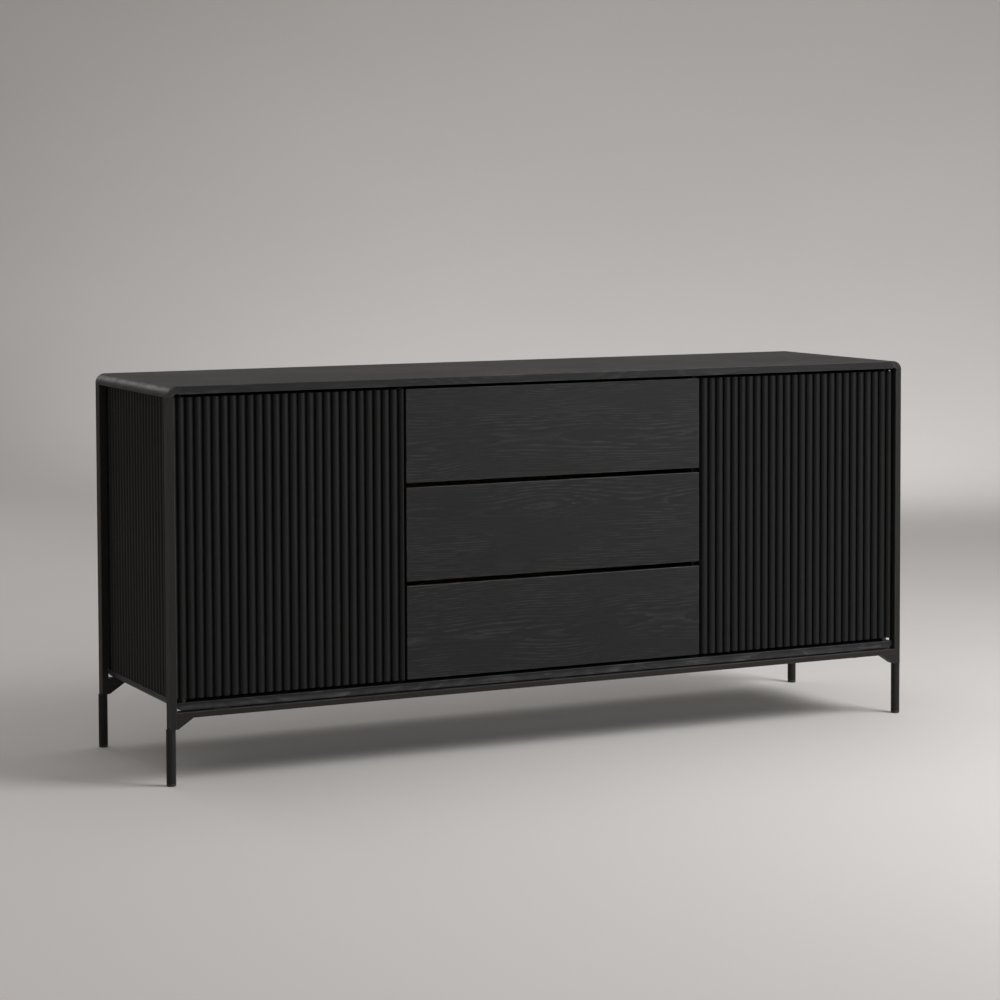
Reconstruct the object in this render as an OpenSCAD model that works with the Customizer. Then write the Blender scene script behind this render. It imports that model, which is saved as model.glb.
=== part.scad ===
/* [Overall] */
// Width over the legs
width = 1800; // [1500:10:2000]
// Depth over the front and rear posts
depth = 480; // [460:5:560]
// Height from the floor to the top
height = 825; // [780:5:900]

/* [Frame] */
// Diameter of the round legs
leg_d = 20; // [18:1:24]
// Height of the legs, up to the foot of the posts
leg_h = 118; // [100:1:160]
// Width of a post across the front
post_w = 15; // [14:1:18]
// Depth of a post, front to rear
post_d = 25; // [22:1:30]
// Wall of the steel tubes
tube_wall = 1.5; // [1:0.25:2]
// Height of the lower front and rear rails
rail_h = 12.5; // [10:0.5:16]
// Height of the corner gussets under the rails
gusset_h = 22; // [16:1:26]
// Length of a gusset along the rail
gusset_len = 38; // [28:1:50]

/* [Boards] */
// Thickness of the top
top_t = 17; // [16:0.5:19]
// Thickness of the bottom board
bottom_t = 16.5; // [16:0.5:19]
// Thickness of the two dividers beside the drawers
divider_t = 16; // [15:0.5:18]
// Radius of the rounded top ends
top_end_r = 21; // [19:0.5:23]
// Radius of the bottom board's lower end edges
bottom_end_r = 13; // [8:0.5:15]
// How far the fronts and the bottom board sit behind the posts
recess = 8; // [6:0.5:10]

/* [Fronts] */
// Half the width of the drawer fronts
drawer_half = 359; // [300:1:400]
// Gap between a door and the drawer fronts
door_gap = 6; // [5:0.5:8]
// Gap between a door and its post
post_gap = 7.5; // [7:0.5:9]
// Gap between one drawer front and the next, wide enough for fingertips
finger_gap = 10; // [8:0.5:14]
// Gap above the fronts
head_gap = 6.5; // [6:0.5:8]
// Gap below the fronts
foot_gap = 7.5; // [7:0.5:9]
// Thickness of a drawer front
drawer_front_t = 20; // [18:0.5:21]
// Whole battens on the left door
battens_left = 26; // [20:1:30]
// Whole battens on the right door
battens_right = 25; // [20:1:30]
// Share of a batten left at the right edge of each door
cut_batten = 0.6; // [0.4:0.05:0.9]
// Battens on each end of the case
battens_end = 23; // [18:1:26]
// How far a batten stands out
batten_h = 8; // [6:0.5:8]

/* [Drawers] */
// Height of a drawer box
box_h = 150; // [120:5:160]
// Length of a drawer box and its runners
box_len = 400; // [350:10:410]
// Thickness of the drawer boards
box_t = 12; // [10:1:15]
// Space taken by a runner beside the box
runner_t = 13; // [13:0.5:14]

/* [Hidden] */
$fn = 64;
cut = 1;            // how far a cutting shape runs past a face
ease = 0.8;         // eased edge on visible boards and posts

// Frame: the legs stand outside the posts and are flush with their inner faces
leg_x = width / 2 - leg_d / 2;
post_in = width / 2 - leg_d;
post_out = post_in + post_w;
frame_y = depth / 2;
leg_y = frame_y - post_d / 2;
rail_z = leg_h + gusset_h;
rail_top = rail_z + rail_h;
leg_wall = 2;
leg_top = 4;
glide_h = 6;
glide_round = 2;
glide_plug = 14;
post_foot = 3;
gusset_foot = 7;
gusset_nose = 1.5;

// Fasteners of the frame
stud_r = 4;
stud_fit = 0.1;
stud_in_end = 9;
stud_end_play = 1;
plug_h = 25;
bolt_r = 3;
bolt_fit = 0.3;
bolt_head_h = 3;
bolt_head_r = 5.4;
bolt_in_case = 11;
pad_w = 14;
pad_len = 34;
pad_edge = 1;
bolt_inset = 100;
BOLT_X = [-post_in + bolt_inset, 0, post_in - bolt_inset];

// Rounded top ends
end_w = 28;
end_seam = post_out - end_w;
end_in_r = 6;
end_z = height - top_t - end_in_r;
top_z = height - top_t;

// Case hung between the posts
pad_h = 2;
case_gap = 3;
case_x = post_in - case_gap;
case_y = frame_y - recess;
bolt_y = case_y - pad_w / 2 - pad_edge;
bottom_z = rail_top + pad_h;
floor_z = bottom_z + bottom_t;
side_t = 13;
side_out = case_x - batten_h;
side_in = side_out - side_t;
side_setback = 29;
side_front = case_y - side_setback;
back_t = 6;
divider_out = drawer_half + door_gap / 2 + divider_t / 2;
divider_in = divider_out - divider_t;
divider_setback = 25;
divider_front = case_y - divider_setback;
reeding_gap = 1;

// Fronts
fronts_z0 = floor_z + foot_gap;
fronts_z1 = top_z - head_gap;
drawer_h = (fronts_z1 - fronts_z0 - 2 * finger_gap) / 3;
door_in = drawer_half + door_gap;
door_out = post_in - post_gap;
door_w = door_out - door_in;
door_h = fronts_z1 - fronts_z0;
door_t = 14;
door_back = case_y - batten_h - door_t;
batten_rise = 7;
batten_groove = 1.8;

// Pivots: an upright axis inside each door, close to the post
pivot_inset = 11.5;
pivot_from_back = 9;
pivot_x = door_out - pivot_inset;
pivot_y = door_back + pivot_from_back;
pin_r = 3;
pin_fit = 0.05;
pin_in_door = 22;
pin_in_bush = 9;
pin_end_play = 0.5;
pin_low_len = pin_in_door + foot_gap + pin_in_bush;
pin_top_len = pin_in_door + head_gap + pin_in_bush;
bush_r = 5;
bush_depth = 10;
bush_flange_r = 7;
top_flange_h = 1.5;
bush_play = 0.2;

// Latches on the dividers, behind the free top corner of each door
latch_drop = 30;
latch_z = fronts_z1 - latch_drop;
latch_w = 14;
latch_h = 16;
latch_len = 60;
latch_setback = 1;
latch_front = divider_front - latch_setback;
latch_bore = 50;
latch_x = divider_out + latch_w / 2;
plunger_r = 3.5;
plunger_len = 40;
plunger_tip_gap = 0.3;
plunger_fit = 0.05;
strike_r = 6;
strike_t = 1;

// Shelves
shelf_t = 16;
shelf_z = 480;
shelf_setback = 15;
shelf_back_gap = 2;
shelf_front = side_front - shelf_setback;
shelf_back = case_y - back_t - shelf_back_gap;
shelf_play = 1;
shelf_pin_r = 2.5;
shelf_pin_in = 8;
shelf_pin_out = 9;
shelf_pin_inset = 40;
PIN_Y = [-shelf_front + shelf_pin_inset, shelf_back - shelf_pin_inset];

// Drawers: runner members nest in the space between a divider and a box
box_x = divider_in - runner_t;
box_lift = 18;
base_t = 6;
base_lift = 10;
runner_h = 45;
runner_end = 8;
member_step = 3;
cabinet_reach = runner_t - 4;
inner_reach = runner_t - 6;
runner_skin = 1.2;
runner_lift = 75;
runner_len = box_len - runner_end;
box_front = case_y - drawer_front_t;
hook_depth = 10;
hook_drop = 12;

LEVELS = [fronts_z0, fronts_z0 + drawer_h + finger_gap, fronts_z0 + 2 * (drawer_h + finger_gap)];
BOTTOM = 0;
MIDDLE = 1;
TOP = 2;

black_wood = "#2f2f2e";
black_steel = "#222222";
box_wood = "#8a7a66";
zinc = "#b8b8bc";
nylon = "#1c1c1c";

// A rectangle with its four corners cut at 45 degrees
module eased_rect(w, h, e) {
    polygon([[e, 0], [w - e, 0], [w, e], [w, h - e], [w - e, h], [e, h], [0, h - e], [0, e]]);
}

// A box whose twelve edges are all eased
module eased_box(size, e = ease) {
    intersection() {
        linear_extrude(size.z) eased_rect(size.x, size.y, e);
        translate([0, size.y, 0]) rotate([90, 0, 0]) linear_extrude(size.y) eased_rect(size.x, size.z, e);
        rotate([90, 0, 90]) linear_extrude(size.x) eased_rect(size.y, size.z, e);
    }
}

// A box between two opposite corners
module span(low, high) {
    translate(low) cube(high - low);
}

// The children, and a copy on the other side of the middle
module both_sides() {
    children();
    mirror([1, 0, 0]) children();
}

// The children at all four corners of the frame
module four_corners() {
    both_sides() {
        children();
        mirror([0, 1, 0]) children();
    }
}

// An outline in the X-Z plane carried along Y from -half to half
module carried_back(half) {
    translate([0, half, 0]) rotate([90, 0, 0]) linear_extrude(2 * half) children();
}

// ---- Frame ----

module top_panel() {
    color(black_wood)
    difference() {
        translate([-end_seam, -frame_y, top_z]) eased_box([2 * end_seam, depth, top_t]);
        both_sides()
            translate([pivot_x, -pivot_y, top_z - cut]) cylinder(r = bush_r, h = bush_depth + cut);
    }
}

// The rounded end rail's outline: an outer and an inner quarter round with short straights
module end_outline() {
    round_x = post_out - top_end_r;
    round_z = height - top_end_r;
    difference() {
        intersection() {
            translate([end_seam, end_z]) square([post_out - end_seam, height - end_z]);
            union() {
                translate([round_x, round_z]) circle(r = top_end_r);
                translate([end_seam, end_z]) square([round_x - end_seam, height - end_z]);
                translate([end_seam, end_z]) square([post_out - end_seam, round_z - end_z]);
            }
        }
        translate([post_in - end_in_r, end_z]) circle(r = end_in_r);
        translate([end_seam - cut, end_z - cut])
            square([post_in - end_in_r - end_seam + cut, end_in_r + cut]);
    }
}

module top_end_right() {
    color(black_wood)
    difference() {
        carried_back(frame_y) end_outline();
        for (side = [-1, 1])
            translate([post_in + post_w / 2, side * leg_y, end_z - cut])
                cylinder(r = stud_r + stud_fit, h = stud_in_end + cut);
    }
}

module top_end_left() mirror([1, 0, 0]) top_end_right();

// A rectangular tube standing at the front right corner
module post() {
    color(black_steel)
    difference() {
        translate([post_in, -frame_y, leg_h]) linear_extrude(end_z - leg_h) eased_rect(post_w, post_d, ease);
        translate([post_in + tube_wall, -frame_y + tube_wall, leg_h + post_foot])
            cube([post_w - 2 * tube_wall, post_d - 2 * tube_wall, end_z - leg_h]);
    }
}

module post_front_right() post();
module post_front_left() mirror([1, 0, 0]) post();
module post_rear_right() mirror([0, 1, 0]) post();
module post_rear_left() mirror([1, 0, 0]) mirror([0, 1, 0]) post();

// A plug in the top of each post, with a stud up into the end rail
module post_studs() {
    color(zinc)
    four_corners() {
        translate([post_in + tube_wall, -frame_y + tube_wall, end_z - plug_h])
            cube([post_w - 2 * tube_wall, post_d - 2 * tube_wall, plug_h]);
        translate([post_in + post_w / 2, -leg_y, end_z - cut])
            cylinder(r = stud_r, h = stud_in_end - stud_end_play + cut);
    }
}

// A flat rectangular tube between the front posts, drilled for the case bolts
module front_rail() {
    color(black_steel)
    difference() {
        translate([-post_in, -frame_y, rail_z])
            rotate([90, 0, 90]) linear_extrude(2 * post_in) difference() {
                eased_rect(post_d, rail_h, ease);
                translate([tube_wall, tube_wall])
                    square([post_d - 2 * tube_wall, rail_h - 2 * tube_wall]);
            }
        for (x = BOLT_X)
            translate([x, -bolt_y, rail_z - cut]) cylinder(r = bolt_r + bolt_fit, h = rail_h + 2 * cut);
    }
}

module rear_rail() mirror([0, 1, 0]) front_rail();

// A bracing block in each corner under the rail, flat for a leg's width and then sloping up
module corner_gussets() {
    color(black_steel)
    four_corners()
        carried_through_post()
            polygon([
                [post_in, leg_h],
                [post_in - gusset_foot, leg_h],
                [post_in - gusset_len + gusset_nose, rail_z - gusset_nose],
                [post_in - gusset_len, rail_z],
                [post_in, rail_z]
            ]);
}

// An outline in the X-Z plane carried through the depth of a front post
module carried_through_post() {
    translate([0, -frame_y + post_d, 0]) rotate([90, 0, 0]) linear_extrude(post_d) children();
}

// A round tube closed at the top
module leg() {
    color(black_steel)
    translate([leg_x, -leg_y, 0])
        difference() {
            translate([0, 0, glide_h]) cylinder(d = leg_d, h = leg_h - glide_h);
            translate([0, 0, glide_h - cut])
                cylinder(r = leg_d / 2 - leg_wall, h = leg_h - glide_h - leg_top + cut);
        }
}

module leg_front_right() leg();
module leg_front_left() mirror([1, 0, 0]) leg();
module leg_rear_right() mirror([0, 1, 0]) leg();
module leg_rear_left() mirror([1, 0, 0]) mirror([0, 1, 0]) leg();

// A rounded foot with a plug up inside each leg
module leg_glides() {
    color(nylon)
    four_corners()
        translate([leg_x, -leg_y, 0]) {
            rotate_extrude() {
                translate([0, glide_round]) square([leg_d / 2, glide_h - glide_round]);
                square([leg_d / 2 - glide_round, glide_h]);
                translate([leg_d / 2 - glide_round, glide_round])
                    intersection() {
                        circle(r = glide_round);
                        translate([0, -glide_round]) square(glide_round);
                    }
            }
            translate([0, 0, glide_h - cut]) cylinder(r = leg_d / 2 - leg_wall, h = glide_plug + cut);
        }
}

// Thin pads that hold the case off the rails
module spacer_pads() {
    color(nylon)
    for (x = BOLT_X, side = [-1, 1])
        translate([x, side * bolt_y, rail_top])
            difference() {
                translate([-pad_len / 2, -pad_w / 2, 0]) cube([pad_len, pad_w, pad_h]);
                translate([0, 0, -cut]) cylinder(r = bolt_r + bolt_fit, h = pad_h + 2 * cut);
            }
}

// Button-head bolts up through the rails and pads into the bottom board
module case_bolts() {
    color(zinc)
    for (x = BOLT_X, side = [-1, 1])
        translate([x, side * bolt_y, rail_z - bolt_head_h]) {
            cylinder(r = bolt_head_r, h = bolt_head_h);
            cylinder(r = bolt_r, h = bottom_z + bolt_in_case - rail_z + bolt_head_h);
        }
}

// ---- Case ----

// A board with rounded lower end edges, bored for the lower pivots and for the case bolts
module bottom_panel() {
    color(black_wood)
    difference() {
        carried_back(case_y) difference() {
            translate([-case_x, bottom_z]) square([2 * case_x, bottom_t]);
            both_sides() difference() {
                translate([case_x - bottom_end_r, bottom_z - cut])
                    square([bottom_end_r + cut, bottom_end_r + cut]);
                translate([case_x - bottom_end_r, bottom_z + bottom_end_r]) circle(r = bottom_end_r);
            }
        }
        both_sides()
            translate([pivot_x, -pivot_y, floor_z - bush_depth]) cylinder(r = bush_r, h = bush_depth + cut);
        for (x = BOLT_X, side = [-1, 1])
            translate([x, side * bolt_y, bottom_z - cut]) cylinder(r = bolt_r, h = bolt_in_case + cut);
    }
}

// An end board, bored inside for the shelf pins
module side_panel_right() {
    color(black_wood)
    difference() {
        span([side_in, -side_front, floor_z], [side_out, case_y, top_z]);
        for (y = PIN_Y)
            translate([side_in - cut, y, shelf_z - shelf_pin_r])
                rotate([0, 90, 0]) cylinder(r = shelf_pin_r, h = shelf_pin_in + cut);
    }
}

module side_panel_left() mirror([1, 0, 0]) side_panel_right();

// One batten's outline: short straight sides under a round face, rising along +Y from the X axis
module batten(w) {
    face_r = (w * w / 4 + batten_rise * batten_rise) / (2 * batten_rise);
    intersection() {
        translate([0, batten_h - face_r]) circle(r = face_r);
        translate([-w / 2, 0]) square([w, batten_h]);
    }
}

// A row of battens over a length, the last one cut off where the length ends
module batten_row(length, whole, share) {
    pitch = length / (whole + share);
    intersection() {
        square([length, batten_h]);
        for (i = [0 : whole - 1 + (share > 0 ? 1 : 0)])
            translate([(i + 0.5) * pitch, 0]) batten(pitch - batten_groove);
    }
}

module side_reeding_right() {
    color(black_wood)
    translate([side_out, -side_front, floor_z])
        linear_extrude(end_z - reeding_gap - floor_z)
            mirror([1, -1, 0]) batten_row(case_y + side_front, battens_end, 0);
}

module side_reeding_left() mirror([1, 0, 0]) side_reeding_right();

// An upright board between a cupboard and the drawers
module divider_right() {
    color(black_wood)
    difference() {
        span([divider_in, -divider_front, floor_z], [divider_out, case_y - back_t, top_z]);
        for (y = PIN_Y)
            translate([divider_out - shelf_pin_in, y, shelf_z - shelf_pin_r])
                rotate([0, 90, 0]) cylinder(r = shelf_pin_r, h = shelf_pin_in + cut);
    }
}

module divider_left() mirror([1, 0, 0]) divider_right();

module back_panel() {
    color(black_wood)
    span([-side_in, case_y - back_t, floor_z], [side_in, case_y, top_z]);
}

module shelf_right() {
    color(black_wood)
    translate([divider_out + shelf_play, -shelf_front, shelf_z])
        eased_box([side_in - divider_out - 2 * shelf_play, shelf_back + shelf_front, shelf_t]);
}

module shelf_left() mirror([1, 0, 0]) shelf_right();

// Four pins under each shelf
module shelf_pins() {
    color(zinc)
    both_sides()
        for (y = PIN_Y, x = [divider_out - shelf_pin_in, side_in - shelf_pin_out])
            translate([x, y, shelf_z - shelf_pin_r])
                rotate([0, 90, 0]) cylinder(r = shelf_pin_r, h = shelf_pin_in + shelf_pin_out);
}

// Bushes for the door pivots: the lower ones carry the door on a tall collar
module pivot_bushes() {
    color(nylon)
    both_sides()
        translate([pivot_x, -pivot_y, 0]) {
            difference() {
                union() {
                    translate([0, 0, floor_z - bush_depth]) cylinder(r = bush_r, h = bush_depth + cut);
                    translate([0, 0, floor_z]) cylinder(r = bush_flange_r, h = foot_gap - bush_play);
                }
                translate([0, 0, floor_z - pin_in_bush - pin_end_play])
                    cylinder(r = pin_r + pin_fit, h = pin_in_bush + foot_gap + cut);
            }
            difference() {
                union() {
                    translate([0, 0, top_z - cut]) cylinder(r = bush_r, h = bush_depth + cut);
                    translate([0, 0, top_z - top_flange_h]) cylinder(r = bush_flange_r, h = top_flange_h);
                }
                translate([0, 0, top_z - top_flange_h - cut])
                    cylinder(r = pin_r + pin_fit, h = top_flange_h + cut + pin_in_bush + pin_end_play);
            }
        }
}

// Push-latch bodies screwed to the dividers inside the cupboards
module latch_housings() {
    color(nylon)
    both_sides()
        translate([divider_out, -latch_front, latch_z - latch_h / 2])
            difference() {
                eased_box([latch_w, latch_len, latch_h]);
                translate([latch_w / 2, -cut, latch_h / 2])
                    rotate([-90, 0, 0]) cylinder(r = plunger_r + plunger_fit, h = latch_bore + cut);
            }
}

// A sprung plunger that pushes the door out when it is pressed and let go
module latch_plunger_right() {
    color(zinc)
    translate([latch_x, -(door_back - strike_t - plunger_tip_gap), latch_z])
        rotate([-90, 0, 0]) cylinder(r = plunger_r, h = plunger_len);
}

module latch_plunger_left() mirror([1, 0, 0]) latch_plunger_right();

// ---- Doors ----

// A door board between x0 and x1, drilled top and bottom for its pivot pins
module door_panel(x0, pivot) {
    color(black_wood)
    difference() {
        translate([x0, -door_back - door_t, fronts_z0]) eased_box([door_w, door_t, door_h]);
        for (z = [fronts_z0 - cut, fronts_z1 - pin_in_door])
            translate([pivot, -pivot_y, z]) cylinder(r = pin_r, h = pin_in_door + cut);
    }
}

module door_panel_left() door_panel(-door_out, -pivot_x);
module door_panel_right() door_panel(door_in, pivot_x);

module door_reeding(x0, whole) {
    color(black_wood)
    translate([x0, -door_back - door_t, fronts_z0])
        linear_extrude(door_h)
            mirror([0, 1, 0]) batten_row(door_w, whole, cut_batten);
}

module door_reeding_left() door_reeding(-door_out, battens_left);
module door_reeding_right() door_reeding(door_in, battens_right);

// The two steel pins that a door turns on
module door_pivots_right() {
    color(zinc)
    for (z = [fronts_z0 + pin_in_door - pin_low_len, fronts_z1 - pin_in_door])
        translate([pivot_x, -pivot_y, z])
            cylinder(r = pin_r, h = z < height / 2 ? pin_low_len : pin_top_len);
}

module door_pivots_left() mirror([1, 0, 0]) door_pivots_right();

// A steel disc for the latch, on the inside of the door
module strike_plate_right() {
    color(zinc)
    translate([latch_x, -door_back, latch_z])
        rotate([-90, 0, 0]) cylinder(r = strike_r, h = strike_t);
}

module strike_plate_left() mirror([1, 0, 0]) strike_plate_right();

// ---- Drawers ----

// A drawer front whose upper rear edge slopes away, so that fingertips can hook behind it
module drawer_front(level) {
    color(black_wood)
    translate([0, -case_y, LEVELS[level]])
        difference() {
            translate([-drawer_half, 0, 0]) eased_box([2 * drawer_half, drawer_front_t, drawer_h]);
            translate([-drawer_half - cut, 0, 0])
                rotate([90, 0, 90]) linear_extrude(2 * (drawer_half + cut))
                    polygon([
                        [drawer_front_t - hook_depth, drawer_h + cut],
                        [drawer_front_t - hook_depth, drawer_h],
                        [drawer_front_t, drawer_h - hook_drop],
                        [drawer_front_t + cut, drawer_h - hook_drop],
                        [drawer_front_t + cut, drawer_h + cut]
                    ]);
        }
}

module drawer_sides(level) {
    color(box_wood)
    both_sides()
        translate([box_x - box_t, -box_front, LEVELS[level] + box_lift]) cube([box_t, box_len, box_h]);
}

// The inner front and the back of a drawer box, between its sides
module drawer_ends(level) {
    color(box_wood)
    for (y = [-box_front, -box_front + box_len - box_t])
        translate([-box_x + box_t, y, LEVELS[level] + box_lift])
            cube([2 * (box_x - box_t), box_t, box_h]);
}

module drawer_base(level) {
    color(box_wood)
    translate([-box_x + box_t, -box_front + box_t, LEVELS[level] + box_lift + base_lift])
        cube([2 * (box_x - box_t), box_len - 2 * box_t, base_t]);
}

// A channel lying along Y: its web stands at x = 0 and its flanges reach to x = reach
module channel(half_h, reach) {
    rotate([90, 0, 0]) linear_extrude(runner_len) {
        translate([0, -half_h]) square([runner_skin, 2 * half_h]);
        for (z = [-half_h, half_h - runner_skin])
            translate([0, z]) square([reach, runner_skin]);
    }
}

// One member of a pair of runners, its channel opening towards or away from the drawer
module runner_pair(level, x, half_h, reach, inward) {
    color(zinc)
    both_sides()
        translate([x, -box_front + box_len, LEVELS[level] + runner_lift])
            mirror([inward ? 1 : 0, 0, 0]) channel(half_h, reach);
}

module cabinet_rails() {
    for (level = [BOTTOM, MIDDLE, TOP])
        runner_pair(level, divider_in, runner_h / 2, cabinet_reach, true);
}

module mid_rails(level) {
    runner_pair(level, divider_in - member_step, runner_h / 2 - member_step, inner_reach, true);
}

module drawer_rails(level) {
    runner_pair(level, box_x, runner_h / 2 - 2 * member_step, inner_reach, false);
}

module drawer_front_top() drawer_front(TOP);
module drawer_sides_top() drawer_sides(TOP);
module drawer_ends_top() drawer_ends(TOP);
module drawer_base_top() drawer_base(TOP);
module drawer_rails_top() drawer_rails(TOP);
module mid_rails_top() mid_rails(TOP);
module drawer_front_middle() drawer_front(MIDDLE);
module drawer_sides_middle() drawer_sides(MIDDLE);
module drawer_ends_middle() drawer_ends(MIDDLE);
module drawer_base_middle() drawer_base(MIDDLE);
module drawer_rails_middle() drawer_rails(MIDDLE);
module mid_rails_middle() mid_rails(MIDDLE);
module drawer_front_bottom() drawer_front(BOTTOM);
module drawer_sides_bottom() drawer_sides(BOTTOM);
module drawer_ends_bottom() drawer_ends(BOTTOM);
module drawer_base_bottom() drawer_base(BOTTOM);
module drawer_rails_bottom() drawer_rails(BOTTOM);
module mid_rails_bottom() mid_rails(BOTTOM);

top_panel();
top_end_left();
top_end_right();
post_front_left();
post_front_right();
post_rear_left();
post_rear_right();
post_studs();
front_rail();
rear_rail();
corner_gussets();
leg_front_left();
leg_front_right();
leg_rear_left();
leg_rear_right();
leg_glides();
spacer_pads();
case_bolts();
bottom_panel();
side_panel_left();
side_panel_right();
side_reeding_left();
side_reeding_right();
divider_left();
divider_right();
back_panel();
shelf_left();
shelf_right();
shelf_pins();
pivot_bushes();
latch_housings();
latch_plunger_left();
latch_plunger_right();
door_panel_left();
door_reeding_left();
door_pivots_left();
strike_plate_left();
door_panel_right();
door_reeding_right();
door_pivots_right();
strike_plate_right();
drawer_front_top();
drawer_sides_top();
drawer_ends_top();
drawer_base_top();
drawer_rails_top();
mid_rails_top();
drawer_front_middle();
drawer_sides_middle();
drawer_ends_middle();
drawer_base_middle();
drawer_rails_middle();
mid_rails_middle();
drawer_front_bottom();
drawer_sides_bottom();
drawer_ends_bottom();
drawer_base_bottom();
drawer_rails_bottom();
mid_rails_bottom();
cabinet_rails();
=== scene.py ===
"""The looks of a long black sideboard: reeded doors beside three drawers, hung in a slender steel frame.

Every new piece is an outline carried along a straight line, worked out as whole numpy arrays, and takes its
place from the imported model's own boxes. Each sub-assembly is a class that builds and dresses its pieces.
"""

import logging
import math
from dataclasses import dataclass, field, replace
from enum import Enum
from functools import reduce

import bpy
import numpy as np
from mathutils import Matrix, Vector


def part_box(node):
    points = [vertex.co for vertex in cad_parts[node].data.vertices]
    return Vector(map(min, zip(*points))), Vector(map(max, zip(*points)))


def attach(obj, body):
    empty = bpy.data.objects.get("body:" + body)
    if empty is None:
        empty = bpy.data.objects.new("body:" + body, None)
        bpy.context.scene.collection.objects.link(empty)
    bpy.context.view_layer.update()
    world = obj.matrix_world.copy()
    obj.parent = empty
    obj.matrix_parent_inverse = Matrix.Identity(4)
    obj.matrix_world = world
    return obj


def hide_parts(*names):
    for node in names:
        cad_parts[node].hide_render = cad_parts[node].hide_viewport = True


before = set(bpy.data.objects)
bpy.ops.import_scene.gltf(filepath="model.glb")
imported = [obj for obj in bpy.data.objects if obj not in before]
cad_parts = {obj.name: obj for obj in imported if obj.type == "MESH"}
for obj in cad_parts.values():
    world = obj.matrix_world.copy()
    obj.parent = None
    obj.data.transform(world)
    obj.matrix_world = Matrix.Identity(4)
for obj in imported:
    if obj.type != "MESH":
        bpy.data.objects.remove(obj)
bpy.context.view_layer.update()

log = logging.getLogger("sideboard")
Colour = tuple[float, float, float]
Socket = bpy.types.NodeSocket
Value = Socket | float
MM = 0.001
HOUSE_DUST = (0.20, 0.19, 0.175)
EVEN_TONE = 0.5  # of a piece neither lighter nor darker than its finish
WORN = 0.5  # the wear mask at which an edge is fully rubbed


# ---- Shapes ----


class Axis(Enum):
    """The way an outline is carried: the world directions of its two coordinates, then of the path."""

    X = ((0, 1, 0), (0, 0, 1), (1, 0, 0))
    Y = ((1, 0, 0), (0, 0, 1), (0, 1, 0))
    Z = ((1, 0, 0), (0, 1, 0), (0, 0, 1))


class Grain(Enum):
    """Which world coordinates run along the grain, across the board's face and through its thickness."""

    TOP = (0, 1, 2)
    FRONT = (0, 2, 1)
    END_RAIL = (1, 0, 2)
    UPRIGHT = (2, 0, 1)
    UPRIGHT_END = (2, 1, 0)
    BOX_SIDE = (1, 2, 0)


@dataclass(frozen=True)
class Box:
    """A CAD node's lowest and highest corners at rest, in metres."""

    lo: np.ndarray
    hi: np.ndarray

    @classmethod
    def of(cls, node: str) -> "Box":
        """The box of a CAD node."""
        return cls(*map(np.array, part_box(node)))

    @property
    def mid(self) -> np.ndarray:
        """The middle of the box."""
        return (self.lo + self.hi) / 2

    @property
    def size(self) -> np.ndarray:
        """The three sides of the box."""
        return self.hi - self.lo


@dataclass(frozen=True)
class Outline:
    """A closed outline, counter-clockwise: points, outward unit normals, and how far each is on an edge."""

    points: np.ndarray
    normals: np.ndarray
    edge: np.ndarray

    @classmethod
    def rounded(cls, corners: list[tuple[float, float]], radii: list[float], steps: int = 5) -> "Outline":
        """A polygon with an arc at each corner.

        With n0 and n1 the normals of the sides that meet at corner p, and s +1 for a convex turn and -1 for a
        concave one, the arc's centre is p - s r (n0 + n1) / (1 + n0 . n1), and its points are centre + s r n,
        where n turns evenly from n0 to n1.

        Args:
            corners: the corners in order.
            radii: the radius of each corner's arc.
            steps: how many points each arc has.

        Returns:
            The outline.
        """
        p = np.array(corners, float)
        along = np.roll(p, -1, 0) - p
        along /= np.linalg.norm(along, axis=1)[:, None]
        after = np.stack([along[:, 1], -along[:, 0]], 1)
        before = np.roll(after, 1, 0)
        start = np.arctan2(before[:, 1], before[:, 0])
        turn = np.arctan2(after[:, 1], after[:, 0]) - start
        turn = (turn + np.pi) % (2 * np.pi) - np.pi
        reach = (np.sign(turn) * np.array(radii, float))[:, None]
        centre = p - reach * (before + after) / (1 + (before * after).sum(1))[:, None]
        part = np.linspace(0, 1, steps)
        angle = start[:, None] + turn[:, None] * part
        normals = np.stack([np.cos(angle), np.sin(angle)], -1)
        points = centre[:, None] + reach[:, :, None] * normals
        edge = np.broadcast_to(np.sin(np.pi * part), angle.shape)
        return cls(points.reshape(-1, 2), normals.reshape(-1, 2), edge.reshape(-1).copy())

    @classmethod
    def rectangle(cls, lo: tuple[float, float], hi: tuple[float, float], radius: float) -> "Outline":
        """A rectangle between two opposite corners, with rounded corners."""
        corners = [(lo[0], lo[1]), (hi[0], lo[1]), (hi[0], hi[1]), (lo[0], hi[1])]
        return cls.rounded(corners, [radius] * len(corners))

    @classmethod
    def circle(cls, centre: tuple[float, float], radius: float, steps: int = 48) -> "Outline":
        """A circle: centre + r (cos t, sin t).

        Args:
            centre: its middle.
            radius: its radius.
            steps: how many points it has.

        Returns:
            The outline.
        """
        angle = np.arange(steps) * 2 * np.pi / steps
        normals = np.stack([np.cos(angle), np.sin(angle)], 1)
        return cls(np.array(centre) + radius * normals, normals, np.zeros(steps))


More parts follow.
